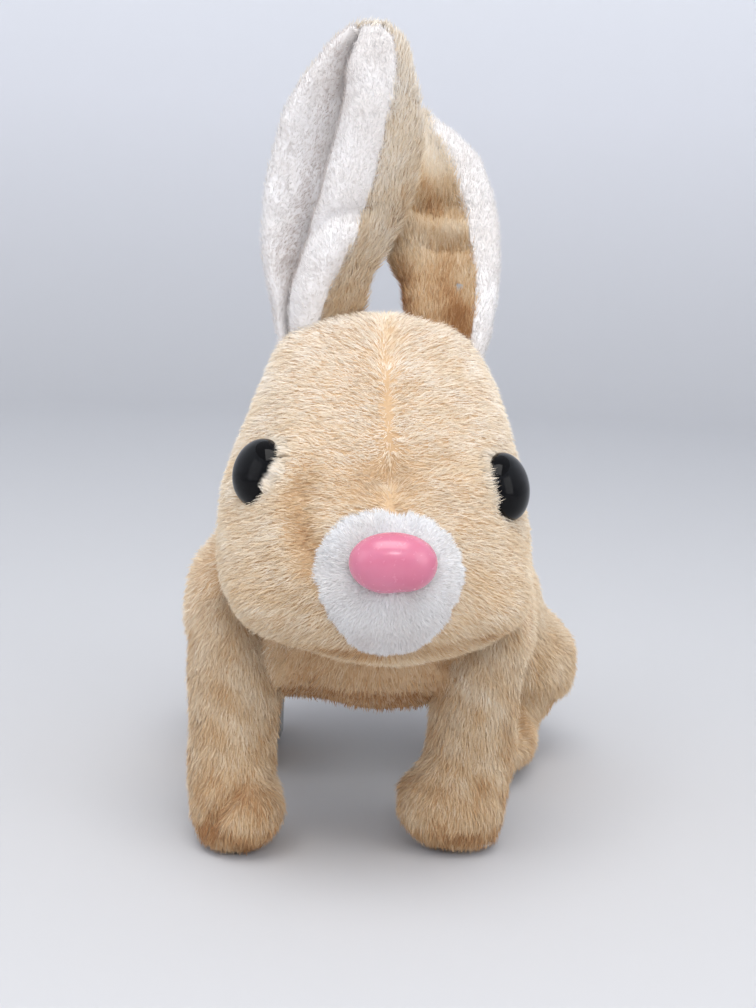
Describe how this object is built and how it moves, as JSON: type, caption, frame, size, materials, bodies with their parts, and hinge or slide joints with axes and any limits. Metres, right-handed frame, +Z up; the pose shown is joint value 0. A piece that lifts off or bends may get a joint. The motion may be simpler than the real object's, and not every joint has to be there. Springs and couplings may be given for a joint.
{
  "type": "interactive plush rabbit",
  "caption": "Sitting plush rabbit toy with upright ears, a geared hopping mechanism, and a nose and ears that twitch.",
  "frame": {"origin": "on the floor, under the middle of the bounding box", "axes": "+Z up, -Y the way the rabbit faces, +X its left"},
  "size_m": [0.118, 0.1806, 0.1985],
  "materials": {
    "plush_tan": "short dense plush pile, light tan",
    "plush_white": "short dense plush pile, white",
    "plush_gold": "plush pile, golden tan",
    "wadding": "polyester fibre wadding",
    "eye_black": "polished black plastic",
    "nose_pink": "satin pink moulded plastic",
    "shell_white": "moulded ABS, off-white",
    "shell_grey": "moulded ABS, grey",
    "gear_nylon": "moulded acetal, natural white",
    "gear_blue": "moulded acetal, blue",
    "knob_black": "black plastic",
    "rubber_sole": "brown rubber",
    "steel": "drawn steel",
    "nickel": "nickel-plated spring steel",
    "motor_can": "zinc-plated steel can",
    "board_green": "solder-masked glass fibre board",
    "chip_black": "moulded black resin",
    "cell_wrap": "printed film sleeve, plain blue",
    "speaker_frame": "dark painted steel and paper cone",
    "lead_red": "PVC insulation"
  },
  "bodies": {
    "root": {"belly_tray": "shell_white", "batteries": "cell_wrap", "battery_contacts": "nickel", "upper_housing": "shell_white", "gear_plate_left": "shell_grey", "gear_plate_right": "shell_grey", "motor": "motor_can", "gear_shafts": "steel", "rocker_pin": "steel", "neck_post": "shell_white", "circuit_board": "board_green", "circuit_components": "chip_black", "speaker": "speaker_frame", "switch_body": "knob_black", "battery_leads": "lead_red", "motor_leads": "lead_red", "speaker_leads": "lead_red", "case_screws": "steel", "front_leg_frame_left": "shell_white", "front_leg_frame_right": "shell_white", "front_foot_pads": "rubber_sole", "front_leg_skin_left": "plush_gold", "front_leg_skin_right": "plush_gold", "hind_axle": "steel", "body_skin": "plush_tan", "stuffing": "wadding", "tail": "plush_white", "skull_front": "shell_white", "skull_back": "shell_white", "head_skin": "plush_tan", "muzzle_patch": "plush_white", "eye_left": "eye_black", "eye_right": "eye_black", "eye_washers": "gear_nylon"},
    "crank": {"crank_gear": "gear_blue", "crank_shaft": "steel", "crank_disc_left": "gear_nylon", "crank_disc_right": "gear_nylon", "head_cam": "gear_nylon"},
    "gear_2_body": {"gear_2": "gear_nylon"},
    "gear_1_body": {"gear_1": "gear_blue"},
    "motor_rotor": {"motor_pinion": "gear_nylon"},
    "hind_legs": {"hind_lever_left": "shell_grey", "hind_lever_right": "shell_grey", "hind_foot_pads": "rubber_sole", "hind_leg_skin_left": "plush_tan", "hind_leg_skin_right": "plush_tan"},
    "head_rod_body": {"head_rod": "gear_nylon"},
    "rocker_body": {"rocker": "shell_grey"},
    "nose_body": {"nose": "nose_pink", "nose_lever": "shell_grey"},
    "ear_left_body": {"ear_left": "plush_tan", "ear_lining_left": "plush_white", "ear_lever_left": "shell_grey"},
    "ear_right_body": {"ear_right": "plush_tan", "ear_lining_right": "plush_white", "ear_lever_right": "shell_grey"},
    "battery_cover": {"battery_door": "shell_white", "door_screw": "steel"},
    "switch_slider": {"switch_knob": "knob_black"}
  },
  "joints": [
    {"name": "crank_spin", "type": "hinge", "parent": "root", "child": "crank", "pos_m": [0, 0.012, 0.068], "axis": [1, 0, 0], "continuous": true},
    {"name": "gear_2_spin", "type": "hinge", "parent": "root", "child": "gear_2_body", "pos_m": [0, 0.0245, 0.068], "axis": [1, 0, 0], "continuous": true},
    {"name": "gear_1_spin", "type": "hinge", "parent": "root", "child": "gear_1_body", "pos_m": [0, 0.037, 0.068], "axis": [1, 0, 0], "continuous": true},
    {"name": "motor_spin", "type": "hinge", "parent": "root", "child": "motor_rotor", "pos_m": [0, 0.0495, 0.068], "axis": [1, 0, 0], "continuous": true},
    {"name": "hind_leg_hop", "type": "hinge", "parent": "root", "child": "hind_legs", "pos_m": [0, 0.036, 0.0495], "axis": [1, 0, 0], "range_deg": [-10.5, 10.5]},
    {"name": "head_rod_lift", "type": "slide", "parent": "root", "child": "head_rod_body", "axis": [0, 0, 1], "range_m": [-0.001, 0.001]},
    {"name": "rocker_tilt", "type": "hinge", "parent": "root", "child": "rocker_body", "pos_m": [0, -0.008, 0.0585], "axis": [1, 0, 0], "range_deg": [-3, 3]},
    {"name": "nose_twitch", "type": "hinge", "parent": "root", "child": "nose_body", "pos_m": [0.0023, -0.04988, 0.0815], "axis": [0.9945, 0.1045, 0], "range_deg": [-2.7, 2.7]},
    {"name": "ear_left_wiggle", "type": "hinge", "parent": "root", "child": "ear_left_body", "pos_m": [0.01172, -0.02476, 0.118], "axis": [-0.1045, 0.9945, 0], "range_deg": [-6.5, 6.5]},
    {"name": "ear_right_wiggle", "type": "hinge", "parent": "root", "child": "ear_right_body", "pos_m": [-0.01214, -0.02727, 0.118], "axis": [-0.1045, 0.9945, 0], "range_deg": [-6.5, 6.5]},
    {"name": "battery_door_off", "type": "slide", "parent": "root", "child": "battery_cover", "axis": [0, 0, -1], "range_m": [0, 0.02]},
    {"name": "switch_slide", "type": "slide", "parent": "root", "child": "switch_slider", "axis": [0, 1, 0], "range_m": [0, 0.003]}
  ],
  "couplings": [
    {"joint": "gear_2_spin", "follows": "crank_spin", "ratio": -3.1667},
    {"joint": "gear_1_spin", "follows": "crank_spin", "ratio": 10.028},
    {"joint": "motor_spin", "follows": "crank_spin", "ratio": -40.111},
    {"joint": "rocker_tilt", "follows": "head_rod_lift", "rad_per_m": -50},
    {"joint": "nose_twitch", "follows": "head_rod_lift", "rad_per_m": 45.455},
    {"joint": "ear_left_wiggle", "follows": "head_rod_lift", "rad_per_m": 111.11},
    {"joint": "ear_right_wiggle", "follows": "head_rod_lift", "rad_per_m": -111.11}
  ]
}
